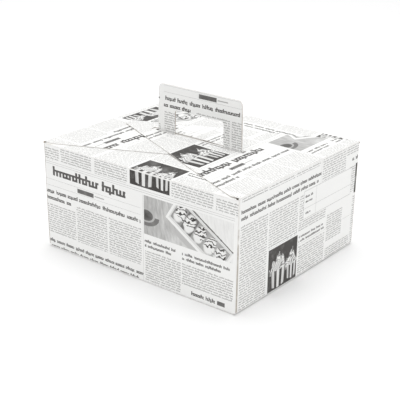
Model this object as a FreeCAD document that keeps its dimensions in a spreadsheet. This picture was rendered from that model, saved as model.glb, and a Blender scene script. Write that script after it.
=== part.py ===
import FreeCAD, Part
import os
import re
import Sketcher

# Folded paperboard carrier box with a fold-up handle, built as it is cut: every panel of the
# blank is a flat board of one thickness, and every fold is a crease piece between two panels.
# Millimetres. Origin at the middle of the base on the table, +X along the front, +Y to the
# back, +Z up. Each size below can be changed by itself.

V = FreeCAD.Vector
doc = FreeCAD.newDocument("carrier_box")
sheet = doc.addObject("Spreadsheet::Sheet", "Sizes")

SIZES = {
    # overall
    "length": 305.0,           # outside, left wall to right wall
    "depth": 262.0,            # outside, front wall to back wall
    "height": 141.0,           # table to the top face of the front flap
    "board": 0.6,              # paperboard thickness
    "clearance": 0.3,          # free space between flaps that move over each other
    # folds
    "corner": 3.0,             # outside radius of the upright corners
    "base_fold": 2.0,          # outside radius of the folds at the base
    "pivot": 0.45,             # top crease line, in from both outer faces
    "web": 0.3,                # thickness of the crushed board in a crease
    "drop": 1.5,               # top of a wall board below the outer face of its flap
    "start": 0.75,             # near edge of a flap from its crease line
    # top flaps
    "setback": 3.5,            # ends of the front and back flaps in from the side walls
    "shoulder": 13.0,          # straight part of a lock flap before its edge slants
    "slant": 0.46,             # how fast the left lock flap narrows
    "nose": 10.0,              # radius of the right lock flap's nose
    "left_reach": 150.0,       # left lock flap, from the left wall to its tip
    "tip_round": 6.0,          # corner radius of the left lock flap's tip
    # handle
    "handle_shift": -5.5,      # middle of the handle from the middle of the box
    "handle_foot": 134.0,      # width at the fold
    "handle_head": 131.0,      # width at the top
    "handle_height": 64.8,     # above the front flap
    "handle_leg": 28.0,        # width of each leg
    "handle_bar": 31.3,        # height of the grip over the hand hole
    "handle_round": 6.0,       # outer corner radius
    "hole_round": 4.0,         # corner radius of the hand hole
    "bead": 0.3,               # radius of the crease at the handle's foot
    "reach": 0.6,              # handle crease line to the boards on both sides of it
    # slot in the lock flaps
    "play": 4.5,               # slot beyond the handle's foot at each end
    "beyond": 57.73,           # point of the right lock flap beyond the slot's far end
    "lift": 0.1005,            # rise of the handle while the left flap's notch passes, per depth
    "rise": 0.038,             # rise of the handle while the slot's far end passes, per depth
    # glued seam and base
    "glue_width": 22.0,
    "glue_bevel": 8.0,
    "base_margin": 4.0,        # base flaps clear of the walls opposite
    "base_taper": 8.0,         # slant of the base flaps' ends
    "base_inner": 160.0,       # reach of the inner base flap
    "base_side": 90.0,         # reach of the side base flaps
}

for row, (alias, value) in enumerate(SIZES.items(), start=1):
    sheet.set("A%d" % row, alias)
    sheet.set("B%d" % row, str(value))
    sheet.setAlias("B%d" % row, alias)
doc.recompute()

# Values that follow from the sizes, as expressions.
LAYER = "(board + clearance)"                              # one flap lying on another
HALF_L = "(length / 2)"
HALF_D = "(depth / 2)"
FOLD_Z = "(height - pivot)"                                # front and back crease lines
LEFT_Z = "(height + %s - pivot)" % LAYER                   # left lock flap is the second layer
RIGHT_Z = "(height + 2 * %s - pivot)" % LAYER              # right lock flap is the third layer
HANDLE_Y = "((board + clearance) / 2)"                     # a handle half's middle plane
HANDLE_Z = "(height - board / 2)"                          # crease line at the handle's foot
# The left lock flap's notch leaves the handle's near corner when the flap has turned far enough
# to reach over it. The front and back flaps have turned a quarter as far by then, which moves
# each handle half away from the middle.
NEAR_X = "(%s - pivot + handle_shift - handle_head / 2)" % HALF_L
LEAVE = "atan((handle_height + lift * depth) / %s)" % NEAR_X
SPREAD = "((%s - pivot) * (1 - cos(%s / 4)))" % (HALF_D, LEAVE)
SLOT_HALF = "(board + clearance / 2 + %s + clearance)" % SPREAD
SLOT_RIGHT = "(handle_shift + handle_foot / 2 + play)"
SLOT_LEFT = "(handle_shift - handle_foot / 2 - play)"
# The right lock flap swings about the right wall, so the far end of its slot passes the top
# left corner of the handle on an arc and is cut long enough for it and for the handle's foot.
CORNER_X = "(%s - pivot - handle_shift + handle_head / 2 - handle_round)" % HALF_L
CORNER_Z = "(handle_height - 2 * %s + pivot + rise * depth - handle_round)" % LAYER
SLOT_ARC = "(%s - pivot - hypot(%s; %s) - handle_round - 3 * clearance)" % (HALF_L, CORNER_X, CORNER_Z)
SLOT_FAR = "min(%s; %s)" % (SLOT_ARC, SLOT_LEFT)
WALL_TOP = "(height - drop)"


def bound(text):
    """An expression with each size's name turned into its cell in the sheet."""
    return re.sub(r"[a-z_]+", lambda m: "Sizes." + m.group() if m.group() in SIZES else m.group(), text)


def number(text):
    """The value of an expression at the present sizes."""
    return float(sheet.evalExpression(bound(text)))


def place(obj, x="0", y="0", z="0", turn=None):
    """Puts an object at a place given by expressions, turned if a rotation is given."""
    if turn is not None:
        obj.Placement = FreeCAD.Placement(V(0, 0, 0), turn)
    for axis, text in zip("xyz", (x, y, z)):
        obj.setExpression("Placement.Base." + axis, bound(text))


def draw_loop(sketch, corners):
    """A closed loop of lines whose corners are pinned by expressions."""
    first = sketch.GeometryCount
    spots = [V(number(x), number(y), 0) for x, y in corners]
    count = len(corners)
    for i in range(count):
        sketch.addGeometry(Part.LineSegment(spots[i], spots[(i + 1) % count]), False)
    for i in range(count):
        sketch.addConstraint(Sketcher.Constraint("Coincident", first + i, 2, first + (i + 1) % count, 1))
    for i, texts in enumerate(corners):
        for kind, text in zip(("DistanceX", "DistanceY"), texts):
            value = number(text)
            index = sketch.addConstraint(Sketcher.Constraint(kind, -1, 1, first + i, 1, value))
            sketch.setExpression("Constraints[%d]" % index, bound(text))


def cut_board(label, plane, loops, x="0", y="0", z="0", thickness="board"):
    """A flat board cut to an outline, with its holes, drawn on one of its origin planes."""
    body = doc.addObject("PartDesign::Body", label)
    body.Label = label
    sketch = body.newObject("Sketcher::SketchObject", label + "_outline")
    role = {"XY": "XY_Plane", "XZ": "XZ_Plane", "YZ": "YZ_Plane"}[plane]
    origin_plane = [o for o in body.Origin.OriginFeatures if o.Role == role][0]
    sketch.AttachmentSupport = [(origin_plane, "")]
    sketch.MapMode = "FlatFace"
    for corners in loops:
        draw_loop(sketch, corners)
    pad = body.newObject("PartDesign::Pad", label + "_board")
    pad.Profile = sketch
    pad.setExpression("Length", bound(thickness))
    place(body, x, y, z)
    doc.recompute()
    return body


def round_corners(body, spots, plane, radius):
    """Rounds the upright edges of a board that pass through the given outline corners."""
    first, second = {"XY": (0, 1), "XZ": (0, 2), "YZ": (1, 2)}[plane]
    through = 3 - first - second
    names = []
    for i, edge in enumerate(body.Tip.Shape.Edges, start=1):
        ends = [v.Point for v in edge.Vertexes]
        if len(ends) != 2 or abs(ends[0][through] - ends[1][through]) < 1e-4:
            continue
        for x, y in spots:
            if abs(ends[0][first] - number(x)) < 1e-4 and abs(ends[0][second] - number(y)) < 1e-4:
                names.append("Edge%d" % i)
    if len(names) != len(spots):
        raise RuntimeError("%s: found %d of %d corners" % (body.Label, len(names), len(spots)))
    fillet = body.newObject("PartDesign::Fillet", body.Label + "_round_%d" % len(body.Group))
    fillet.Base = (body.Tip if body.Tip != fillet else body.Group[-2], names)
    fillet.setExpression("Radius", bound(radius))
    body.Tip = fillet
    doc.recompute()


def bent_crease(label, radius, span, x, y, z, turn):
    """A board bent through a right angle: a quarter of a tube, one board thick."""
    outer = doc.addObject("Part::Cylinder", label + "_outer")
    inner = doc.addObject("Part::Cylinder", label + "_inner")
    for cylinder, size in ((outer, radius), (inner, "(%s) - board" % radius)):
        cylinder.Angle = 90
        cylinder.setExpression("Radius", bound(size))
        cylinder.setExpression("Height", bound(span))
    bend = doc.addObject("Part::Cut", label)
    bend.Label = label
    bend.Base, bend.Tool = outer, inner
    place(bend, x, y, z, turn)
    return bend


def living_hinge(label, radius, tail, span, x, y, z, turn):
    """A crease that flexes: a round bead on the crease line, with a thin web to its board."""
    bead = doc.addObject("Part::Cylinder", label + "_bead")
    bead.setExpression("Radius", bound(radius))
    bead.setExpression("Height", bound(span))
    strip = doc.addObject("Part::Box", label + "_web")
    strip.setExpression("Length", bound("web"))
    strip.setExpression("Width", bound(tail))
    strip.setExpression("Height", bound(span))
    place(strip, "-web / 2", "-(%s)" % tail, "0")
    hinge = doc.addObject("Part::Fuse", label)
    hinge.Label = label
    hinge.Base, hinge.Tool = bead, strip
    place(hinge, x, y, z, turn)
    return hinge


def frame_turn(along, up):
    """Rotation that lays local Z along a fold and local Y along a second direction."""
    return FreeCAD.Rotation(up.cross(along), up, along, "ZYX")


def box_loop(x0, y0, x1, y1):
    return [(x0, y0), (x1, y0), (x1, y1), (x0, y1)]


def mirrored(corners):
    """The same outline on the other side of its second axis."""
    return [(x, "-(%s)" % y) for x, y in reversed(corners)]


# ---- walls -----------------------------------------------------------------------------
# The front wall's right end is the cut end of the blank and covers the glue flap.
WALL_X = "(%s - corner)" % HALF_L
WALL_Y = "(%s - corner)" % HALF_D
INNER_BASE = "(board + base_fold)"              # wall bottoms: the outer base flap is lowest,
SIDE_BASE = "(2 * board + base_fold)"           # then the inner one, then the side flaps

nodes = []
nodes.append(cut_board("front_panel", "XZ", [box_loop("-" + WALL_X, "base_fold", HALF_L, WALL_TOP)],
                       y="-%s + board" % HALF_D))
nodes.append(cut_board("back_panel", "XZ", [box_loop("-" + WALL_X, INNER_BASE, WALL_X, WALL_TOP)],
                       y=HALF_D))
LEFT_TOP = "(%s + pivot - drop)" % LEFT_Z
RIGHT_TOP = "(%s + pivot - drop)" % RIGHT_Z
nodes.append(cut_board("left_panel", "YZ", [box_loop("-" + WALL_Y, SIDE_BASE, WALL_Y, LEFT_TOP)],
                       x="-" + HALF_L))
SEAM_Y = "(%s - board - corner)" % HALF_D       # the right wall bends behind the front wall
nodes.append(cut_board("right_panel", "YZ", [box_loop("-" + SEAM_Y, SIDE_BASE, WALL_Y, RIGHT_TOP)],
                       x=HALF_L + " - board"))
glue_end = "%s - glue_width" % WALL_X
glue_loop = [(WALL_X, "base_fold"), (WALL_X, WALL_TOP), (glue_end, WALL_TOP + " - glue_bevel"),
             (glue_end, "base_fold + glue_bevel")]
nodes.append(cut_board("glue_flap", "XZ", [glue_loop], y="-%s + 2 * board" % HALF_D))

# ---- upright corners -------------------------------------------------------------------
CORNER_SPAN = "%s - %s" % (WALL_TOP, SIDE_BASE)
upright = {
    "crease_back_right": (WALL_X, WALL_Y, 0),
    "crease_back_left": ("-" + WALL_X, WALL_Y, 90),
    "crease_front_left": ("-" + WALL_X, "-" + WALL_Y, 180),
    "crease_front_right": (WALL_X, "-" + SEAM_Y, 270),
}
for name, (x, y, degrees) in upright.items():
    turn = FreeCAD.Rotation(V(0, 0, 1), degrees)
    nodes.append(bent_crease(name, "corner", CORNER_SPAN, x, y, SIDE_BASE, turn))

# ---- base: outer flap from the front wall, inner one from the back wall, two side flaps ---
EAST, NORTH, UP = V(1, 0, 0), V(0, 1, 0), V(0, 0, 1)
base_folds = {
    # name: (span, x, y, z, along, second direction); each tube's quarter faces out and down
    "crease_base_front": ("2 * " + WALL_X, "-" + WALL_X, "-%s + base_fold" % HALF_D, "base_fold",
                          EAST, -UP),
    "crease_base_back": ("2 * " + WALL_X, WALL_X, "%s - base_fold" % HALF_D, INNER_BASE,
                         -EAST, -UP),
    "crease_base_left": ("2 * " + WALL_Y, "-%s + base_fold" % HALF_L, WALL_Y, SIDE_BASE,
                         -NORTH, -UP),
    "crease_base_right": ("2 * " + WALL_Y, "%s - base_fold" % HALF_L, "-" + WALL_Y, SIDE_BASE,
                          NORTH, -UP),
}
for name, (span, x, y, z, along, up) in base_folds.items():
    nodes.append(bent_crease(name, "base_fold", span, x, y, z, frame_turn(along, up)))

FOOT_X, FOOT_Y = "(%s - base_fold)" % HALF_L, "(%s - base_fold)" % HALF_D
outer_loop = [("-" + WALL_X, "-" + FOOT_Y), (WALL_X, "-" + FOOT_Y),
              (WALL_X + " - base_taper", FOOT_Y + " - base_margin"),
              ("-%s + base_taper" % WALL_X, FOOT_Y + " - base_margin")]
nodes.append(cut_board("base_outer_flap", "XY", [outer_loop]))
inner_end = "%s - base_inner" % FOOT_Y
inner_loop = [("-" + WALL_X, FOOT_Y), (WALL_X, FOOT_Y), (WALL_X + " - base_taper", inner_end),
              ("-%s + base_taper" % WALL_X, inner_end)]
nodes.append(cut_board("base_inner_flap", "XY", [inner_loop], z="board"))
for name, side in (("base_left_flap", "-"), ("base_right_flap", "")):
    near, far = side + FOOT_X, "%s(%s - base_side)" % (side, FOOT_X)
    side_loop = [(near, "-" + WALL_Y), (near, WALL_Y), (far, WALL_Y + " - 2 * base_taper"),
                 (far, "-%s + 2 * base_taper" % WALL_Y)]
    nodes.append(cut_board(name, "XY", [side_loop], z="2 * board"))

# ---- top creases -------------------------------------------------------------------------
tail = "drop - pivot"
top_folds = {
    "crease_top_front": ("2 * " + WALL_X, "-" + WALL_X, "-%s + pivot" % HALF_D, FOLD_Z, EAST),
    "crease_top_back": ("2 * " + WALL_X, "-" + WALL_X, "%s - pivot" % HALF_D, FOLD_Z, EAST),
    "crease_top_left": ("2 * " + WALL_Y, "-%s + pivot" % HALF_L, "-" + WALL_Y, LEFT_Z, NORTH),
    "crease_top_right": ("2 * " + WALL_Y, "%s - pivot" % HALF_L, "-" + WALL_Y, RIGHT_Z, NORTH),
}
for name, (span, x, y, z, along) in top_folds.items():
    nodes.append(living_hinge(name, "pivot", tail, span, x, y, z, frame_turn(along, UP)))

# ---- front and back flaps, which meet at mid-depth and fold up there into the handle -------
FLAP_END = "(%s + reach)" % HANDLE_Y
front_loop = [("-%s + setback" % HALF_L, "-%s + pivot + start" % HALF_D),
              ("%s - setback" % HALF_L, "-%s + pivot + start" % HALF_D),
              ("handle_shift + handle_foot / 2", "-" + FLAP_END),
              ("handle_shift - handle_foot / 2", "-" + FLAP_END)]
nodes.append(cut_board("front_flap", "XY", [front_loop], z="height - board"))
nodes.append(cut_board("back_flap", "XY", [mirrored(front_loop)], z="height - board"))

# ---- handle halves and the creases at their feet -------------------------------------------
HEAD_Z = "(height + handle_height)"
FOOT_Z = "(%s + reach)" % HANDLE_Z
foot_left, foot_right = "handle_shift - handle_foot / 2", "handle_shift + handle_foot / 2"
head_left, head_right = "handle_shift - handle_head / 2", "handle_shift + handle_head / 2"
hole_left, hole_right = foot_left + " + handle_leg", foot_right + " - handle_leg"
hole_top = HEAD_Z + " - handle_bar"
handle_loop = [(foot_left, FOOT_Z), (hole_left, FOOT_Z), (hole_left, hole_top), (hole_right, hole_top),
               (hole_right, FOOT_Z), (foot_right, FOOT_Z), (head_right, HEAD_Z), (head_left, HEAD_Z)]
for name, y in (("handle_front", "-clearance / 2"), ("handle_back", "clearance / 2 + board")):
    half = cut_board(name, "XZ", [handle_loop], y=y)
    round_corners(half, [(head_left, HEAD_Z), (head_right, HEAD_Z)], "XZ", "handle_round")
    round_corners(half, [(hole_left, hole_top), (hole_right, hole_top)], "XZ", "hole_round")
    nodes.append(half)
for name, side, up in (("crease_handle_front", "-", NORTH), ("crease_handle_back", "", -NORTH)):
    legs = []
    for leg, x in (("left", foot_left), ("right", hole_right)):
        legs.append(living_hinge("%s_%s" % (name, leg), "bead", "reach", "handle_leg", x,
                                 side + HANDLE_Y, HANDLE_Z, frame_turn(EAST, up)))
    pair = doc.addObject("Part::Compound", name)
    pair.Label = name
    pair.Links = legs
    nodes.append(pair)

# ---- lock flaps, slotted over the handle ---------------------------------------------------
lock_y = WALL_Y
left_x = "(-%s + pivot + start)" % HALF_L
left_knee = "(-%s + shoulder)" % HALF_L
left_tip = "(-%s + left_reach)" % HALF_L
left_tip_y = "(%s - (left_reach - shoulder) * slant)" % lock_y
left_loop = [(left_x, "-" + lock_y), (left_knee, "-" + lock_y), (left_tip, "-" + left_tip_y),
             (left_tip, "-" + SLOT_HALF), (SLOT_LEFT, "-" + SLOT_HALF), (SLOT_LEFT, SLOT_HALF),
             (left_tip, SLOT_HALF), (left_tip, left_tip_y), (left_knee, lock_y), (left_x, lock_y)]
left_lock = cut_board("left_lock_flap", "XY", [left_loop], z=LEFT_Z + " + pivot - board")
round_corners(left_lock, [(left_tip, "-" + left_tip_y), (left_tip, left_tip_y)], "XY", "tip_round")
nodes.append(left_lock)

right_x = "(%s - pivot - start)" % HALF_L
right_knee = "(%s - shoulder)" % HALF_L
right_apex = "(%s - beyond)" % SLOT_FAR
right_loop = [(right_x, "-" + lock_y), (right_x, lock_y), (right_knee, lock_y), (right_apex, "0"),
              (right_knee, "-" + lock_y)]
slot_loop = box_loop(SLOT_FAR, "-" + SLOT_HALF, SLOT_RIGHT, SLOT_HALF)
right_lock = cut_board("right_lock_flap", "XY", [right_loop, slot_loop], z=RIGHT_Z + " + pivot - board")
round_corners(right_lock, [(right_apex, "0")], "XY", "nose")
nodes.append(right_lock)

# ---- check and write -----------------------------------------------------------------------
doc.recompute()
for obj in doc.Objects:
    if "Invalid" in obj.State or "Error" in obj.State:
        raise RuntimeError("%s failed: %s" % (obj.Label, obj.State))
os.makedirs("parts", exist_ok=True)
for node in nodes:
    shape = node.Shape
    if shape.isNull() or not shape.isValid() or not shape.Solids:
        raise RuntimeError("%s has no valid solid" % node.Label)
    shape.exportStep("parts/%s.step" % node.Label)
    box = shape.BoundBox
    print("%-20s %8.1f mm3  x %.2f..%.2f  y %.2f..%.2f  z %.2f..%.2f" % (
        node.Label, shape.Volume, box.XMin, box.XMax, box.YMin, box.YMax, box.ZMin, box.ZMax))
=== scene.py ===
import math

import bmesh
import bpy
from mathutils import Matrix, Vector


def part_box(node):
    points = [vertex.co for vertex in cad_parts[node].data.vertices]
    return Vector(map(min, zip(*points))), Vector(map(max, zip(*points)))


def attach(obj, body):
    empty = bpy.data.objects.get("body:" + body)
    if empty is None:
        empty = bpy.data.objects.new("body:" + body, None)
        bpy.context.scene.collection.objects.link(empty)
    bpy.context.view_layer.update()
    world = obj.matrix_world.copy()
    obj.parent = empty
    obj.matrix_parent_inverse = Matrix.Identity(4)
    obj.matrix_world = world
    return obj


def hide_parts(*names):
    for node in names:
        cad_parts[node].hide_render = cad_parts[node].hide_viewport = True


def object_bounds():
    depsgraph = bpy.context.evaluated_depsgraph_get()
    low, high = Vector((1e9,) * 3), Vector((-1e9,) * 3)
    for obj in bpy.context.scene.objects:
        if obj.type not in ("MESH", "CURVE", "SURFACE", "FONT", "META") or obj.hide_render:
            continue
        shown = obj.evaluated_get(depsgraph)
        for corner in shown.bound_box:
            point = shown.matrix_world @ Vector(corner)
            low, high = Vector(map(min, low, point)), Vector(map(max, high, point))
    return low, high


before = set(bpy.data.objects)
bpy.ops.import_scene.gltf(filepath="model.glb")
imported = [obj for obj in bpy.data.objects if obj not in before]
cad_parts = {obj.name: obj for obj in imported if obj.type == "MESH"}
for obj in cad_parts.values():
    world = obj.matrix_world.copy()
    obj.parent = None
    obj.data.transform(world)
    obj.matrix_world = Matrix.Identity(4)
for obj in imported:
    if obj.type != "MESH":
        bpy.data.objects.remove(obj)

CAD_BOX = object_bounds()
MM = 0.001

# ---- sizes read from the frame ------------------------------------------------------------
HALF_L, HALF_D, HANDLE_TOP = CAD_BOX[1]
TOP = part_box("front_flap")[1].z                 # top face of the front and back flaps
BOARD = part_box("front_panel")[1].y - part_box("front_panel")[0].y
CORNER_RADIUS = HALF_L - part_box("back_panel")[1].x
BASE_RADIUS = HALF_D - abs(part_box("base_outer_flap")[0].y)
LID = (TOP - 0.9 * MM, TOP + 3 * MM)            # the layers of flaps lie between these heights

# ---- how a filled box differs from a true one ---------------------------------------------
LEAN = 2.2 * MM           # the left wall comes in this far at the base
BELLY = 0.8 * MM          # the walls' ends come in this far behind their middles, low down
SOFT_CORNER = 2.5 * MM    # the front left corner is rounder by this much at its top


# ---- shader maths -------------------------------------------------------------------------
class Field:
    """A value that varies over a surface, with Python's operators."""

    def __init__(self, finish, socket):
        self.finish, self.socket = finish, socket

    def math(self, operation, *others):
        return self.finish.node("ShaderNodeMath", {"operation": operation}, self, *others)

    def __add__(self, other):
        return self.math("ADD", other)

    def __sub__(self, other):
        return self.math("SUBTRACT", other)

    def __mul__(self, other):
        return self.math("MULTIPLY", other)

    def __truediv__(self, other):
        return self.math("DIVIDE", other)

    def __rsub__(self, other):
        return (self * -1.0) + other

    __radd__, __rmul__ = __add__, __mul__

    def above(self, edge):
        return self.math("GREATER_THAN", edge)

    def below(self, edge):
        return self.math("LESS_THAN", edge)

    def within(self, middle, half):
        return self.math("COMPARE", middle, half)

    def either(self, other):
        return self.math("MAXIMUM", other)

    def floor(self):
        return self.math("FLOOR")

    def fraction(self):
        return self.math("FRACT")

    def size(self):
        return self.math("ABSOLUTE")

    def spread(self, low, high, to_low=0.0, to_high=1.0):
        """The value moved from one range to another, and kept inside it."""
        return self.finish.node("ShaderNodeMapRange", {"clamp": True}, self, low, high, to_low, to_high)


class Finish:
    """A material under construction."""

    def __init__(self, name):
        self.material = bpy.data.materials.new(name)
        self.material.use_nodes = True
        self.tree = self.material.node_tree
        self.shader = self.tree.nodes["Principled BSDF"]
        self.place = self.node("ShaderNodeTexCoord", {}, output="Object")

    def link(self, value, socket):
        if isinstance(value, Field):
            self.tree.links.new(value.socket, socket)
        elif value is not None:
            socket.default_value = value

    def node(self, kind, settings, *inputs, output=0, **named):
        made = self.tree.nodes.new(kind)
        for name, value in settings.items():
            setattr(made, name, value)
        for socket, value in zip(made.inputs, inputs):
            self.link(value, socket)
        for name, value in named.items():
            self.link(value, made.inputs[name])
        return Field(self, made.outputs[output])

    def join(self, x, y, z=0.0):
        return self.node("ShaderNodeCombineXYZ", {}, x, y, z)

    def split(self, vector):
        """The three parts of a vector."""
        part = self.node("ShaderNodeSeparateXYZ", {}, vector)
        return [Field(self, socket) for socket in part.socket.node.outputs]

    def mix(self, share, first, second):
        """A colour between two colours."""
        made = self.tree.nodes.new("ShaderNodeMix")
        made.data_type = "RGBA"
        self.link(share, made.inputs[0])
        self.link(first, made.inputs[6])
        self.link(second, made.inputs[7])
        return Field(self, made.outputs[2])

    def noise(self, scale, detail=2.0, roughness=0.5, vector=None):
        return self.node("ShaderNodeTexNoise", {"normalize": True}, Vector=vector or self.place,
                         Scale=scale, Detail=detail, Roughness=roughness)

    def speck(self, x, y):
        """One random number for each pair of whole numbers."""
        return self.node("ShaderNodeTexWhiteNoise", {"noise_dimensions": "2D"}, self.join(x, y))

    def bump(self, height, strength, distance):
        return self.node("ShaderNodeBump", {}, Strength=strength, Distance=distance, Height=height,
                         output="Normal")

    def finish(self, colour, roughness, normal=None, **constants):
        self.link(colour, self.shader.inputs["Base Color"])
        self.link(roughness, self.shader.inputs["Roughness"])
        self.link(normal, self.shader.inputs["Normal"])
        for name, value in constants.items():
            self.shader.inputs[name.replace("_", " ")].default_value = value
        return self.material


# ---- the printed page ---------------------------------------------------------------------
# The print is one page of a made-up newspaper, repeated over the blank. Places on it are in
# millimetres: left, right, top and bottom, down from the front wall's top fold. Each row of
# pages is PAGE_HIGH tall and is shifted sideways from the row under it.
PAGE_WIDE, PAGE_HIGH = 305.0, 233.8
ROW_SHIFT = 87.8
TEXT, HEADING, SOLID, RULE, MEAL, CUPS, BLANK = 1, 2, 3, 4, 5, 6, 7
LINE_PITCH = 3.1          # from one line of small print to the next

TEXT_COLUMNS = [
    (3, 53, 79.5, 120), (55.3, 107.8, 71.6, 120), (110.8, 163.7, 71.6, 120), (169.8, 224.7, 97.5, 143),
    (226.7, 301, 97.5, 125), (2, 54.5, 147, 254), (57.5, 118, 147, 195), (121, 183, 147, 194),
    (123, 183, 213, 254), (187, 246, 237.5, 254), (249, 301, 185, 254), (187, 224, 192, 230),
    (236, 250, 142, 178),
]
PAGE_HEADINGS = [
    (16.3, 144.4, 26.2, 42.6), (2, 163, 58.8, 66.0), (2, 46, 68.0, 75.2), (169.2, 216.6, 83.2, 88.2),
    (169.2, 210, 89.4, 94.4), (226.7, 295.8, 83.2, 88.2), (226.7, 283, 89.4, 94.4),
    (2, 166.7, 127.6, 133.8), (2, 161, 135.6, 141.8), (123, 178, 199, 203.2), (123, 181, 204.6, 208.8),
    (240.9, 276, 129.4, 136.2),
]
PAGE_RULES = [
    (2, 301, 22.4, 22.8), (2, 301, 25.0, 25.4), (2, 163, 45.8, 46.1), (2, 163, 54.4, 54.7),
    (88, 104, 49.8, 51.2), (166.6, 166.9, 28, 143), (121, 301, 210.6, 210.9),
]
SOLID_BARS = [(58.6, 86.4, 47.6, 53.2), (279, 290, 130.4, 135.6)]
PICTURES = [(MEAL, 168.4, 300, 28, 77), (CUPS, 59, 120, 196.8, 252.8), (CUPS, 251, 301, 141, 181.5)]
ORDER_FORM = (130, 242, 144, 180.6)
FORM_RULES = [
    (130, 242, 144, 144.5), (130, 242, 180.1, 180.6), (130, 130.5, 144, 180.6), (241.5, 242, 144, 180.6),
    (157.6, 158, 144, 180.6), (130, 242, 166.8, 167.2),
]
FORM_LABELS = [(133, 150, 149.4, 154.0), (134, 149, 156.6, 160.4), (135, 146, 171.4, 175.4)]

PAGE = ([(TEXT, *box) for box in TEXT_COLUMNS] + [(HEADING, *box) for box in PAGE_HEADINGS]
        + [(RULE, *box) for box in PAGE_RULES] + [(SOLID, *box) for box in SOLID_BARS] + PICTURES
        + [(BLANK, *ORDER_FORM)] + [(RULE, *box) for box in FORM_RULES]
        + [(HEADING, *box) for box in FORM_LABELS])


def letter_strokes(ink, across, level, weight, line, top, foot):
    """Marks that read as type from afar and are only bars: across in letters, level from 0 to 1."""
    luck = ink.speck(across.floor(), line)
    high = top - luck.above(0.82) * (top * 0.75)
    low = foot + luck.below(0.08) * ((1 - foot) * 0.8)
    tall = level.above(high) * level.below(low)
    stems = across.fraction().below(weight)
    thick = (foot - top) * 0.16
    joins = luck.above(0.2) * level.within(top + thick, thick)
    joins = joins.either(luck.below(0.7) * level.within(foot - thick, thick))
    return (stems * tall).either(joins)


def words(ink, across, length, line):
    """Gaps between words of uneven length."""
    shift = ink.speck(line, 3.0)
    place = across / length + shift * 7.0
    luck = ink.speck(place.floor(), line)
    return place.fraction().below(luck * 0.12 + 0.8).either(luck.above(0.75))


def meal_tone(ink, across, down):
    """A tray of filled rolls beside a bowl, in greys: across and down from 0 to 1."""
    x, y = across * 2.7, down
    boards = ink.noise(5.0, 4.0, 0.6, ink.join(x * 3.0 - y * 0.6, y * 0.5))
    table = (boards.spread(0.3, 0.7, 0.16, 0.5) + x.spread(0.0, 1.2, 0.22, 0.0)).spread(0.0, 1.0)
    # the tray runs down to the right
    along = x * 0.848 + y * 0.53 - 0.9
    aside = y * 0.848 - x * 0.53 + 0.46
    tray = along.within(0.86, 0.98) * aside.within(0.02, 0.4)
    rim = tray * (1 - along.within(0.86, 0.92) * aside.within(0.02, 0.33))
    well = along.within(0.86, 0.88) * aside.within(0.02, 0.27)
    # five rolls lie across the tray, each with two dark sauced ridges
    count = ((along + 0.02) / 0.352)
    luck = ink.speck(count.floor(), 11.0)
    roll_x = (count.fraction() - 0.5) * 2.0
    wander = ink.noise(7.0, 2.0, 0.5, ink.join(along, aside, luck * 9.0)) - 0.5
    body = (roll_x + wander * 0.9) * (roll_x + wander * 0.9) + (aside - 0.02) * (aside - 0.02) * 12.0
    bread = body.below(0.86)
    shadow = body.spread(0.55, 1.0, 0.0, 1.0)
    ridge = ((aside * 8.5 + roll_x * 0.9 + wander * 2.6 + luck * 0.8).fraction() - 0.5).size()
    sauce = ridge.below(0.17) * aside.below(0.12)
    filling = bread * (sauce * 0.95 + shadow * 0.5 + 0.05) + (1 - bread) * (0.55 + luck * 0.35)
    bowl_x, bowl_y = x - 0.08, (y - 0.5) * 1.5
    bowl = (bowl_x * bowl_x + bowl_y * bowl_y).math("SQRT")
    sheet = (x - y * 1.1).above(1.55) * (1 - tray)
    tone = table * (1 - sheet) + sheet * boards.spread(0.3, 0.7, 0.0, 0.16)
    cast = aside.within(0.5, 0.07) * along.within(0.9, 0.9) * (1 - tray)
    tone = tone * (1 - tray) + tray * (rim * 0.02 + (1 - rim) * 0.2) * (1 - well) + tray * well * filling
    tone = tone.either(cast * 0.45)
    dish = bowl.below(0.27)
    inside = bowl.below(0.21)
    tone = tone * (1 - dish) + dish * (inside * bowl.spread(0.05, 0.21, 0.98, 0.88) + (1 - inside) * 0.5)
    under = bowl_y.above(0.02) * bowl.within(0.31, 0.1) * (1 - dish)
    lid_edge = aside.within(-0.34, 0.014 + wander.size() * 0.05) * along.within(0.86, 0.98)
    return tone.either(under * 0.84).either(lid_edge * 0.9)


def cup_tone(ink, across, down):
    """Two striped cups of cut potatoes against black: across and down from 0 to 1."""
    def one_cup(middle, half, brim, base):
        lean = (across - middle) * (1 + (down - brim) * 0.35)
        wave = ((lean / half) * (lean / half)) * 0.05
        cup = lean.within(0.0, half) * (down + wave).within((brim + base) / 2, (base - brim) / 2)
        stripe = (lean / (half * 0.72) + 0.3).fraction().below(0.5)
        round_off = (lean / half).size().spread(0.5, 1.0, 1.0, 0.62)
        ragged = ink.noise(9.0, 1.0, 0.5, ink.join(across * 1.6, middle)) - 0.5
        heap = (lean / half).size().spread(0.1, 1.35, 0.36, 0.04) * -1 + brim + ragged * 0.34
        tilt = ink.noise(3.5, 1.0, 0.5, ink.join(across, down, middle * 5))
        place = ink.join(across * 13 + tilt * 12, down * 4 - tilt * 5)
        edges = {"voronoi_dimensions": "2D", "feature": "DISTANCE_TO_EDGE"}
        sticks = ink.node("ShaderNodeTexVoronoi", edges, Vector=place, Scale=1.0, Randomness=1.0,
                          output="Distance")
        load = lean.within(0.0, half * 1.25) * down.above(heap) * down.below(brim + 0.05)
        return cup * stripe * round_off * 0.92 + load * (1 - cup) * sticks.spread(0.02, 0.16, 0.12, 0.95)

    light = one_cup(0.36, 0.25, 0.57, 0.97).either(one_cup(0.82, 0.17, 0.62, 0.94))
    glow = ink.noise(5.0, 3.0, 0.6, ink.join(across, down, 3.0))
    return (1.0 - light * 0.97 - glow.spread(0.55, 0.9, 0.0, 0.1)).spread(0.0, 1.0)


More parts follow.
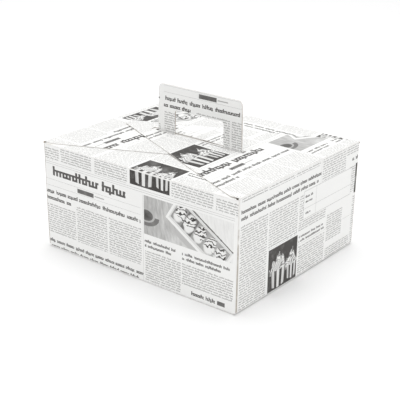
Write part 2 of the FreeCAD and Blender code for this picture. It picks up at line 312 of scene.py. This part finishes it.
def printed_board():
    """White coated board with the grey page: columns, headings and pictures, no lettering."""
    ink = Finish("newsprint_board")
    across, down, _ = ink.split(ink.node("ShaderNodeUVMap", {"uv_map": "pattern"}))
    kind, seed, _ = ink.split(ink.node("ShaderNodeUVMap", {"uv_map": "block"}))
    seed = seed.math("ROUND")

    line = down.floor() + seed
    body = letter_strokes(ink, across * 1.3, down.fraction(), 0.6, line, 0.4, 0.78)
    body = body * words(ink, across, 8.0, line)
    heads = letter_strokes(ink, across * 2.9, down, 0.64, seed, 0.34, 0.84) * words(ink, across, 2.8, seed)
    x, y, z = ink.split(ink.place)
    top_sheen = z.above(LID[0]) * z.below(LID[1])      # painted sheen: the top's small print is paler, standing in for light glancing off the flaps
    density = kind.within(TEXT, 0.3) * body * (0.66 - top_sheen * 0.2)
    density = density.either(kind.within(HEADING, 0.3) * heads * 0.95)
    density = density.either(kind.within(SOLID, 0.3) * 0.9).either(kind.within(RULE, 0.3) * 0.55)
    density = density.either(kind.within(MEAL, 0.3) * meal_tone(ink, across, down))
    density = density.either(kind.within(CUPS, 0.3) * cup_tone(ink, across, down))
    # uneven ink, a little lost where the board is rubbed
    wear = ink.noise(60.0, 5.0, 0.65).spread(0.3, 0.5, 0.88, 1.0)
    density = (density * wear).spread(0.0, 1.0)

    fibre = ink.noise(900.0, 3.0, 0.6)
    cloud = ink.noise(16.0, 3.0, 0.5)
    paper = ink.mix(fibre, (0.86, 0.86, 0.845, 1), (0.93, 0.93, 0.92, 1))
    paper = ink.mix(cloud.spread(0.35, 0.75, 0.0, 0.3), paper, (0.8, 0.8, 0.785, 1))
    colour = ink.mix(density, paper, (0.028, 0.024, 0.021, 1))
    # painted shade: the soft front left corner turns away from the light, so a grey-beige strip that narrows
    # downwards is painted over it
    strip = z.spread(0.0, TOP, 1.0 * MM, 4.6 * MM) + cloud.spread(0.3, 0.7, -0.4 * MM, 0.4 * MM)
    inward = x + HALF_L - (1 - z / TOP) * LEAN
    front = y.below(-HALF_D + 4 * MM) * x.below(0.0)
    corner_shade = front * (inward - strip).spread(-0.5 * MM, 0.1 * MM, 1.0, 0.0)
    corner_shade_colour = ink.mix(fibre.spread(0.3, 0.7), (0.43, 0.42, 0.39, 1), (0.52, 0.51, 0.47, 1))
    colour = ink.mix(corner_shade, colour, corner_shade_colour)
    roughness = 0.6 - density * 0.14 + fibre * 0.1
    normal = ink.bump(fibre * 0.35 + cloud * 0.65, 0.12, 0.0006)
    return ink.finish(colour, roughness, normal)


def kraft_inside():
    """The unprinted inner side: brown board with flecks and long fibres."""
    kraft = Finish("kraft_inside")
    fleck = kraft.noise(700.0, 4.0, 0.7)
    streak = kraft.node("ShaderNodeTexNoise", {}, Vector=kraft.node(
        "ShaderNodeMapping", {}, kraft.place, Scale=(60.0, 420.0, 420.0)), Scale=1.0, Detail=3.0)
    colour = kraft.mix(fleck.spread(0.35, 0.65), (0.36, 0.26, 0.17, 1), (0.46, 0.35, 0.24, 1))
    colour = kraft.mix(streak.spread(0.55, 0.75, 0.0, 0.4), colour, (0.28, 0.2, 0.13, 1))
    normal = kraft.bump(fleck + streak, 0.2, 0.0004)
    return kraft.finish(colour, 0.82 - fleck * 0.1, normal)


def raw_edge():
    """The cut edge of the board, brown between two white faces."""
    edge = Finish("raw_edge")
    ply = edge.noise(2600.0, 3.0, 0.7)
    colour = edge.mix(ply.spread(0.3, 0.7), (0.8, 0.775, 0.74, 1), (0.9, 0.885, 0.86, 1))
    return edge.finish(colour, 0.9 - ply * 0.1, edge.bump(ply, 0.3, 0.0003))


def cracked_fold():
    """The outside of a fold: coated board, stretched, with fine cracks and rubbed ink."""
    fold = Finish("cracked_fold")
    fine = fold.noise(800.0, 5.0, 0.7)
    patch = fold.noise(90.0, 4.0, 0.6)
    crack = fine.spread(0.54, 0.68) * patch.spread(0.45, 0.65)
    colour = fold.mix(patch.spread(0.3, 0.7), (0.9, 0.9, 0.885, 1), (0.83, 0.825, 0.81, 1))
    colour = fold.mix(crack * 0.45, colour, (0.5, 0.45, 0.4, 1))
    return fold.finish(colour, 0.7 + crack * 0.15, fold.bump(fine - crack, 0.25, 0.0004))


def worn_and_shaded_corner():
    """An upright corner: the coating has worn off the bend and the brown board shows. The right corners keep
    their coating towards the top, and the left ones stay brown all the way up as painted shade on the side
    away from the light.
    """
    bend = Finish("worn_and_shaded_corner")
    side, _, height = bend.split(bend.place)
    fine = bend.noise(700.0, 5.0, 0.7)
    patch = bend.noise(70.0, 4.0, 0.6)
    # painted shade: only corners on the right side get white towards the top, so the left corners stay darker
    coating_and_side_shade = (patch + side.above(0.0) * height.spread(0.5 * TOP, 0.85 * TOP, 0.0, 0.5)).spread(0.55, 0.8)
    brown = bend.mix(fine.spread(0.35, 0.65), (0.42, 0.385, 0.34, 1), (0.56, 0.53, 0.48, 1))
    colour = bend.mix(coating_and_side_shade, brown, (0.85, 0.85, 0.83, 1))
    return bend.finish(colour, 0.85 - coating_and_side_shade * 0.2, bend.bump(fine + coating_and_side_shade, 0.3, 0.0004))


PRINTED, KRAFT, RAW, CRACKED = printed_board(), kraft_inside(), raw_edge(), cracked_fold()
WORN_AND_SHADED = worn_and_shaded_corner()


# ---- how the box sits ------------------------------------------------------------------------


def smooth(value, low, high):
    t = min(1.0, max(0.0, (value - low) / (high - low)))
    return t * t * (3 - 2 * t)


def round_corner(point):
    """The front left corner's bend is wider towards the top. The board keeps its length."""
    radius = CORNER_RADIUS + SOFT_CORNER * smooth(point.z, 0.1 * TOP, 1.05 * TOP)
    out_x, out_y = point.x + HALF_L - CORNER_RADIUS, point.y + HALF_D - CORNER_RADIUS
    quarter = math.pi / 4
    if out_x < 0 and out_y < 0:      # on the bend
        run = (math.atan2(-out_x, -out_y) - quarter) * CORNER_RADIUS
        depth = CORNER_RADIUS - math.hypot(out_x, out_y)
    elif out_y < 0:                  # on the front wall
        run, depth = -out_x - quarter * CORNER_RADIUS, point.y + HALF_D
    elif out_x < 0:                  # on the left wall
        run, depth = out_y + quarter * CORNER_RADIUS, point.x + HALF_L
    else:
        return point
    half_run = radius - CORNER_RADIUS + quarter * CORNER_RADIUS
    if abs(run) >= half_run:
        return point
    angle = quarter + run / half_run * quarter
    return Vector((-HALF_L + radius - (radius - depth) * math.sin(angle),
                   -HALF_D + radius - (radius - depth) * math.cos(angle), point.z))


def sit(point):
    """Where a point of the box's walls and base goes."""
    point = round_corner(point)
    low = max(0.0, 1.0 - point.z / TOP) ** 1.3
    across, deep = point.x / HALF_L, point.y / HALF_D
    x = point.x + LEAN * low * (1 - across) / 2 - across * BELLY * low * deep * deep
    y = point.y - deep * BELLY * low * across * across
    return Vector((x, y, point.z))


def lie_on_top(point):
    """The right lock flap lies on the left one's tip, and beyond it on the front and back flaps."""
    lower = smooth(point.x, 2 * MM, 30 * MM) * smooth(HALF_L - point.x, 3 * MM, 22 * MM)
    nose = smooth(-point.x, 0, 110 * MM)
    return point + Vector((0, 0, -0.85 * MM * lower + 0.35 * MM * nose))


def lie(point):
    return point


def bow_handle(point):
    """The handle halves bow a fraction of a millimetre apart at mid-height."""
    up = (point.z - TOP) / (HANDLE_TOP - TOP)
    side = -1 if point.y < 0 else 1
    return point + Vector((0, side * 0.35 * MM * math.sin(math.pi * min(1.0, max(0.0, up))), 0))


# ---- boards cut from the blank -----------------------------------------------------------------
def flat_face(node, outward):
    """The outline of a board's outer face, as a mesh with as few faces as possible."""
    bm = bmesh.new()
    bm.from_mesh(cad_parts[node].data)
    bmesh.ops.remove_doubles(bm, verts=bm.verts, dist=1e-6)
    bm.normal_update()
    hidden = [face for face in bm.faces if face.normal.dot(outward) < 0.99]
    bmesh.ops.delete(bm, geom=hidden, context="FACES")
    bmesh.ops.dissolve_limit(bm, angle_limit=0.01, verts=bm.verts, edges=bm.edges)
    return bm


def cut_across(bm, axis, place):
    normal = Vector([1.0 if i == axis else 0.0 for i in range(3)])
    everything = bm.verts[:] + bm.edges[:] + bm.faces[:]
    bmesh.ops.bisect_plane(bm, geom=everything, plane_co=normal * place, plane_no=normal, dist=1e-7)


def cut_grid(bm, axes, pitch):
    """Cuts a flat mesh into small squares, so that it can bend."""
    for axis in axes:
        places = [v.co[axis] for v in bm.verts]
        low, high = min(places), max(places)
        count = max(1, round((high - low) / pitch))
        for i in range(1, count):
            cut_across(bm, axis, low + (high - low) * i / count)


class Layout:
    """Where a board lies on the page: across and down grow along two directions of the frame."""

    def __init__(self, right, downward, across, down, shift=ROW_SHIFT, extra=()):
        self.right, self.downward, self.across, self.down = right, downward, across, down
        self.shift, self.extra = shift, extra

    def spot(self, point):
        return point.dot(self.right) / MM + self.across, point.dot(self.downward) / MM + self.down

    def cut(self, bm, faces, downwards, value):
        """Cuts some faces where across or down has a value; gives back the faces."""
        normal = self.downward if downwards else self.right
        place = (value - (self.down if downwards else self.across)) * MM
        parts = dict.fromkeys(part for face in faces for part in (face, *face.verts, *face.edges))
        made = bmesh.ops.bisect_plane(bm, geom=list(parts), plane_co=normal * place, plane_no=normal,
                                      dist=1e-7)
        return [part for part in made["geom"] if isinstance(part, bmesh.types.BMFace)]

    def extent(self, face):
        spots = [self.spot(vert.co) for vert in face.verts]
        return (min(s[0] for s in spots), max(s[0] for s in spots),
                min(s[1] for s in spots), max(s[1] for s in spots))


def lay_page(bm, layout):
    """Cuts a flat board along the blocks of the page and marks what is printed in each."""
    kinds = bm.faces.layers.int.new("kind")
    blocks = [(BLANK, 0, 0, 0, 0)]
    corners = [layout.extent(face) for face in bm.faces]
    left, right = min(c[0] for c in corners), max(c[1] for c in corners)
    top, bottom = min(c[2] for c in corners), max(c[3] for c in corners)
    placed = []
    for row in range(-3, 3):
        for wrap in range(-2, 3):
            aside, lower = wrap * PAGE_WIDE - row * layout.shift, row * PAGE_HIGH
            placed += [(kind, x0 + aside, x1 + aside, y0 + lower, y1 + lower) for kind, x0, x1, y0, y1 in PAGE]
    for kind, x0, x1, y0, y1 in placed + list(layout.extra):
        if x1 <= left or x0 >= right or y1 <= top or y0 >= bottom:
            continue
        touched = []
        for face in bm.faces:
            e = layout.extent(face)
            if e[0] < x1 and e[1] > x0 and e[2] < y1 and e[3] > y0:
                touched.append(face)
        for downwards, value in ((False, x0), (False, x1), (True, y0), (True, y1)):
            touched = layout.cut(bm, touched, downwards, value)
        blocks.append((kind, x0, x1, y0, y1))
        for face in touched:
            x, y = layout.spot(face.calc_center_median())
            if x0 < x < x1 and y0 < y < y1:
                face[kinds] = len(blocks) - 1
    pattern = bm.loops.layers.uv.new("pattern")
    block = bm.loops.layers.uv.new("block")
    for face in bm.faces:
        kind, x0, x1, y0, y1 = blocks[face[kinds]]
        for loop in face.loops:
            x, y = layout.spot(loop.vert.co)
            if kind == TEXT:
                spot = (x - x0 + 40, (y - y0) / LINE_PITCH)
            elif kind == HEADING:
                spot = ((x - x0) / (y1 - y0), (y - y0) / (y1 - y0))
            else:
                spot = ((x - x0) / max(1, x1 - x0), (y - y0) / max(1, y1 - y0))
            loop[pattern].uv = spot
            loop[block].uv = (kind, (face[kinds] * 37) % 101)      # each block's marks are its own
    bm.faces.layers.int.remove(kinds)


def make_board(name, bm, shape, materials):
    """Bends a cut outline to shape and gives it the board's thickness, inwards."""
    for vert in bm.verts:
        vert.co = shape(vert.co)
    mesh = bpy.data.meshes.new(name)
    bm.to_mesh(mesh)
    bm.free()
    for material in materials:
        mesh.materials.append(material)
    board = bpy.data.objects.new(name, mesh)
    bpy.context.scene.collection.objects.link(board)
    solid = board.modifiers.new("thickness", "SOLIDIFY")
    solid.thickness, solid.offset = BOARD, -1.0
    solid.use_even_offset = False
    solid.material_offset, solid.material_offset_rim = 1, 2
    return settle(board)


def settle(board):
    """Turns an object's modifiers into its plain mesh, smooth except at its sharp edges."""
    depsgraph = bpy.context.evaluated_depsgraph_get()
    mesh = bpy.data.meshes.new_from_object(board.evaluated_get(depsgraph))
    board.modifiers.clear()
    board.data = mesh
    mesh.polygons.foreach_set("use_smooth", [True] * len(mesh.polygons))
    mesh.set_sharp_from_angle(angle=math.radians(40))
    return board


def finish_piece(piece, body, slot, *nodes):
    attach(piece, body)
    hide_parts(*nodes)


EAST, NORTH, UP = Vector((1, 0, 0)), Vector((0, 1, 0)), Vector((0, 0, 1))


def axis_of(side):
    return 1 if abs(side.y) > 0.5 else 0


def half_across(side):
    """From the box's middle to the wall on one side."""
    return (HALF_L, HALF_D)[axis_of(side)]


def wall_layout(side, across, down):
    """A wall's place on the page. side is the way that the wall faces."""
    right = UP.cross(side)
    return Layout(right, -UP, across + half_across(right) / MM, down + TOP / MM)


def flap_layout(side, across, down, *more):
    """A top flap's place on the page: it goes on upwards from its wall."""
    right = UP.cross(side)
    return Layout(right, side, across + half_across(right) / MM, down - half_across(side) / MM, *more)


def handle_layout(side, across, down):
    """A handle half's place on the page: it goes on upwards from its flap."""
    return Layout(UP.cross(side), -UP, across + HALF_L / MM, down + HANDLE_PRINT + (TOP - HALF_D) / MM)


SIDE_DOWN = 114.5         # how far down the page the side walls' top folds are
HANDLE_PRINT = 6.5        # the print on the handle is this much higher than the flap's would put it
LEFT_FLAP_EXTRA = [(BLANK, -79, -4, 69, 108), (CUPS, -77, -6, 71, 106)]
PRINTED_BOARDS = [  # node, body, the way it faces, how it lies, where it is on the page
    ("front_panel", "carton", -NORTH, sit, wall_layout(-NORTH, 0, 0)),
    ("right_panel", "carton", EAST, sit, wall_layout(EAST, -4, SIDE_DOWN)),
    ("back_panel", "carton", NORTH, sit, wall_layout(NORTH, 0, 0)),
    ("left_panel", "carton", -EAST, sit, wall_layout(-EAST, -4, SIDE_DOWN)),
    ("front_flap", "front_top", UP, lie, flap_layout(-NORTH, 0, 0)),
    ("back_flap", "back_top", UP, lie, flap_layout(NORTH, -59, 171)),
    ("left_lock_flap", "left_lock", UP, lie,
     flap_layout(-EAST, -130, SIDE_DOWN, ROW_SHIFT, LEFT_FLAP_EXTRA)),
    ("right_lock_flap", "right_lock", UP, lie_on_top, flap_layout(EAST, -12, SIDE_DOWN, -19)),
    ("handle_front", "front_grip", -NORTH, bow_handle, handle_layout(-NORTH, 0, 0)),
    ("handle_back", "back_grip", NORTH, bow_handle, handle_layout(NORTH, 0, 0)),
]
PITCH = 8 * MM            # squares that a board is cut into so that it can bend
FOLD_LIP = 0.6 * MM       # a flap's board runs this far into its fold
SOFT_CUTS = 6             # strips across the soft corner


def plane_axes(outward):
    return [i for i in range(3) if abs(outward[i]) < 0.5]


for node, body, outward, shape, layout in PRINTED_BOARDS:
    bm = flat_face(node, outward)
    if outward == UP:
        edge = max(vert.co.dot(layout.downward) for vert in bm.verts)
        for vert in bm.verts:
            if vert.co.dot(layout.downward) > edge - 1e-5:
                vert.co += layout.downward * FOLD_LIP
    lay_page(bm, layout)
    cut_grid(bm, plane_axes(outward), PITCH)
    if node in ("front_panel", "left_panel"):      # finer where the soft corner bends them
        axis = plane_axes(outward)[0]
        for step in range(1, SOFT_CUTS + 1):
            cut_across(bm, axis, CAD_BOX[0][axis] + CORNER_RADIUS + step * SOFT_CORNER / SOFT_CUTS)
    board = make_board("printed_" + node, bm, shape, [PRINTED, KRAFT, RAW])
    finish_piece(board, body, "handle_board" if "handle" in node else "printed_board", node)

for node, outward in (("glue_flap", -NORTH), ("base_outer_flap", -UP), ("base_inner_flap", -UP),
                      ("base_left_flap", -UP), ("base_right_flap", -UP)):
    bm = flat_face(node, outward)
    cut_grid(bm, plane_axes(outward), 2 * PITCH)
    board = make_board("plain_" + node, bm, sit, [CRACKED, KRAFT, RAW])
    finish_piece(board, "carton", "base_board" if "base" in node else "printed_board", node)


# ---- folds ------------------------------------------------------------------------------------------
def fold_tree():
    """Lays the outline held in an object's own mesh along a straight path, in even rows."""
    tree = bpy.data.node_groups.new("fold_along_path", "GeometryNodeTree")
    for name, kind in (("Outline", "Geometry"), ("Points", "Int"), ("Rows", "Int"), ("Path", "Vector"),
                       ("Coat", "Material")):
        tree.interface.new_socket(name, in_out="INPUT", socket_type="NodeSocket" + kind)
    tree.interface.new_socket("Fold", in_out="OUTPUT", socket_type="NodeSocketGeometry")

    def node(kind, settings, **values):
        made = tree.nodes.new(kind)
        for key, value in settings.items():
            setattr(made, key, value)
        for key, value in values.items():
            socket = made.inputs[int(key[1:])] if key[0] == "_" else made.inputs[key.replace("_", " ")]
            if isinstance(value, bpy.types.NodeSocket):
                tree.links.new(value, socket)
            else:
                socket.default_value = value
        return made

    def whole(operation, first, second):
        return node("ShaderNodeMath", {"operation": operation}, _0=first, _1=second).outputs[0]

    sizes = node("NodeGroupInput", {}).outputs
    sheet = node("GeometryNodeMeshGrid", {}, Vertices_X=sizes["Rows"], Vertices_Y=sizes["Points"])
    index = node("GeometryNodeInputIndex", {}).outputs[0]
    row = whole("FLOOR", whole("DIVIDE", index, sizes["Points"]), 0.0)
    share = whole("DIVIDE", row, whole("SUBTRACT", sizes["Rows"], 1.0))
    outline = node("GeometryNodeSampleIndex", {"data_type": "FLOAT_VECTOR", "domain": "POINT"},
                   Geometry=sizes["Outline"], Value=node("GeometryNodeInputPosition", {}).outputs[0],
                   Index=whole("MODULO", index, sizes["Points"])).outputs[0]
    step = node("ShaderNodeVectorMath", {"operation": "SCALE"}, Vector=sizes["Path"],
                Scale=share).outputs[0]
    place = node("ShaderNodeVectorMath", {"operation": "ADD"}, _0=outline, _1=step).outputs[0]
    laid = node("GeometryNodeSetPosition", {}, Geometry=sheet.outputs["Mesh"], Position=place)
    real = node("GeometryNodeRealizeInstances", {}, Geometry=laid.outputs[0])
    coated = node("GeometryNodeSetMaterial", {}, Geometry=real.outputs[0], Material=sizes["Coat"])
    node("NodeGroupOutput", {}, Fold=coated.outputs[0])
    return tree


FOLD_TREE = fold_tree()


def lay_fold(outline, path, pitch, coat):
    """A fold's surface: an outline carried along a path."""
    mesh = bpy.data.meshes.new("outline")
    mesh.from_pydata(outline, [(i, i + 1) for i in range(len(outline) - 1)], [])
    holder = bpy.data.objects.new("outline", mesh)
    bpy.context.scene.collection.objects.link(holder)
    laid = holder.modifiers.new("fold", "NODES")
    laid.node_group = FOLD_TREE
    rows = max(2, round(path.length / pitch)) + 1
    sizes = {"Points": len(outline), "Rows": rows, "Path": path, "Coat": coat}
    for item in FOLD_TREE.interface.items_tree:
        if item.name in sizes:
            laid[item.identifier] = sizes[item.name]
    depsgraph = bpy.context.evaluated_depsgraph_get()
    surface = bpy.data.meshes.new_from_object(holder.evaluated_get(depsgraph))
    bm = bmesh.new()
    bm.from_mesh(surface)
    for face in bm.faces:      # the coat is the fold's first material
        face.material_index = 0
    bpy.data.objects.remove(holder)
    for spent in (mesh, surface):
        bpy.data.meshes.remove(spent)
    return bm


# ---- bends at the upright corners and along the base ----------------------------------------------
BEND_STEPS = 8


def bend(name, node, centre, start, along, length, radius, coat):
    """A board bent round a quarter circle: start is the first outward direction at rest."""
    turns = [Matrix.Rotation(math.pi / 2 * s / BEND_STEPS, 3, along) for s in range(BEND_STEPS + 1)]
    bm = lay_fold([centre + turn @ start * radius for turn in turns], along * length, PITCH, coat)
    bm.normal_update()
    bm.faces.ensure_lookup_table()
    outwards = turns[BEND_STEPS // 2] @ start
    if sum(face.normal.dot(outwards) for face in bm.faces) < 0:
        bmesh.ops.reverse_faces(bm, faces=bm.faces)
    board = make_board(name, bm, sit, [coat, KRAFT, RAW])
    finish_piece(board, "carton", "creased_board", node)


for node, start in (("crease_back_right", EAST), ("crease_back_left", NORTH), ("crease_front_left", -EAST),
                    ("crease_front_right", -NORTH)):
    low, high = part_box(node)
    other = Matrix.Rotation(math.radians(90), 3, UP) @ start
    outwards = start + other
    centre = Vector((low.x if outwards.x > 0 else high.x, low.y if outwards.y > 0 else high.y, low.z))
    top = min(TOP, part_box("crease_top_left" if "left" in node else "crease_top_right")[0].z)
    bend("bent_" + node[7:], node, centre, start, UP, top - low.z, CORNER_RADIUS, WORN_AND_SHADED)

for node, side in (("crease_base_front", -NORTH), ("crease_base_back", NORTH), ("crease_base_left", -EAST),
                   ("crease_base_right", EAST)):
    low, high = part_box(node)
    along = UP.cross(side)
    centre = Vector((0, 0, high.z))
    axis = axis_of(side)
    centre[axis] = high[axis] if side[axis] < 0 else low[axis]
    run = 1 - axis
    centre[run] = low[run] if along[run] > 0 else high[run]
    bend("bent_" + node[7:], node, centre, side, along, high[run] - low[run], BASE_RADIUS, CRACKED)


# ---- top folds: the rounded ridge between a wall and its flap ---------------------------------------
PIVOT = (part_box("crease_top_front")[1].y + HALF_D) / 2     # crease line in from the wall's outer face
RIDGE_STEPS = 12
CORNER_GAP = 0.1 * MM      # the front and back ridges stop this short of the corner


def ridge_profile(drop):
    """Points (outwards, upwards) from the crease line, up a wall's top and round the fold."""
    points = [(PIVOT, -drop)]
    for i in range(RIDGE_STEPS + 1):
        angle = math.pi * i / RIDGE_STEPS
        points.append((PIVOT * math.cos(angle), PIVOT * math.sin(angle)))
    points.append((PIVOT - BOARD, -drop))
    return points


for node, side in (("crease_top_front", -NORTH), ("crease_top_back", NORTH), ("crease_top_left", -EAST),
                   ("crease_top_right", EAST)):
    low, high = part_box(node)
    axis = axis_of(side)
    run = 1 - axis
    reach = HALF_L - CORNER_GAP if axis == 1 else HALF_D - 2 * PIVOT - CORNER_GAP / 2
    outline = []
    for out, up in ridge_profile(high.z - low.z - PIVOT):
        point = Vector((0, 0, high.z - PIVOT + up))
        point[axis] = side[axis] * (half_across(side) - PIVOT + out)
        point[run] = -reach
        outline.append(point)
    path = Vector((0, 0, 0))
    path[run] = 2 * reach
    bm = lay_fold(outline + outline[:1], path, 2 * PITCH, CRACKED)
    bmesh.ops.remove_doubles(bm, verts=bm.verts, dist=1e-7)
    bmesh.ops.holes_fill(bm, edges=[edge for edge in bm.edges if edge.is_boundary], sides=0)
    for vert in bm.verts:
        vert.co = round_corner(vert.co)
    bmesh.ops.recalc_face_normals(bm, faces=bm.faces)
    for face in bm.faces:      # white coating outside, brown board inside
        out = side[axis] * face.calc_center_median()[axis]
        face.material_index = int(out < half_across(side) - 1.1 * PIVOT)
    mesh = bpy.data.meshes.new("ridge_" + node[7:])
    bm.to_mesh(mesh)
    bm.free()
    mesh.materials.append(CRACKED)
    mesh.materials.append(KRAFT)
    ridge = bpy.data.objects.new(mesh.name, mesh)
    bpy.context.scene.collection.objects.link(ridge)
    finish_piece(settle(ridge), "carton", "creased_board", node)

for node in ("crease_handle_front", "crease_handle_back"):
    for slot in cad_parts[node].material_slots:
        slot.material = CRACKED


# ---- floor, light and camera ---------------------------------------------------------------------
def studio():
    bpy.ops.mesh.primitive_plane_add(size=12, location=(0, 0, -0.0002))
    floor = bpy.context.object
    floor.name = "floor"
    ground = Finish("pale_floor")
    tone = ground.noise(3.0, 2.0, 0.5)
    colour = ground.mix(tone, (0.93, 0.93, 0.93, 1), (0.96, 0.96, 0.96, 1))
    floor.data.materials.append(ground.finish(colour, 0.9))
    world = bpy.data.worlds.new("studio")
    world.use_nodes = True
    world.node_tree.nodes["Background"].inputs["Color"].default_value = (1, 1, 1, 1)
    world.node_tree.nodes["Background"].inputs["Strength"].default_value = 0.88
    bpy.context.scene.world = world
    lamps = [  # name, place, size, power
        ("overhead", (-0.2, 0.2, 2.4), 1.8, 21.0),
        ("right_soft", (2.4, -0.4, 1.2), 1.8, 1.5),
    ]
    for name, place, size, power in lamps:
        lamp = bpy.data.lights.new(name, "AREA")
        lamp.size, lamp.energy = size, power
        holder = bpy.data.objects.new(name, lamp)
        holder.location = place
        aim = Vector((0, 0, 0.08)) - Vector(place)
        holder.rotation_euler = aim.to_track_quat("-Z", "Y").to_euler()
        bpy.context.scene.collection.objects.link(holder)


def camera():
    """Long lens, seen from the front right and a little above, rolled by under a degree."""
    azimuth, elevation, roll = 0.661934, 0.3816475, 0.0148409
    back = Vector((math.sin(azimuth) * math.cos(elevation), -math.cos(azimuth) * math.cos(elevation),
                   math.sin(elevation)))
    level = Vector((math.cos(azimuth), math.sin(azimuth), 0))
    upright = back.cross(level)
    right = level * math.cos(roll) + upright * math.sin(roll)
    up = back.cross(right)
    data = bpy.data.cameras.new("view")
    data.lens, data.sensor_width = 90.0, 36.0
    holder = bpy.data.objects.new("view", data)
    place = Vector((2.41173, -3.10575, 1.78188)) * (2 * HALF_L)
    turn = Matrix((right, up, back)).transposed().to_4x4()
    holder.matrix_world = Matrix.Translation(place) @ turn
    bpy.context.scene.collection.objects.link(holder)
    bpy.context.scene.camera = holder


studio()
camera()
bpy.context.scene.view_settings.view_transform = "Standard"
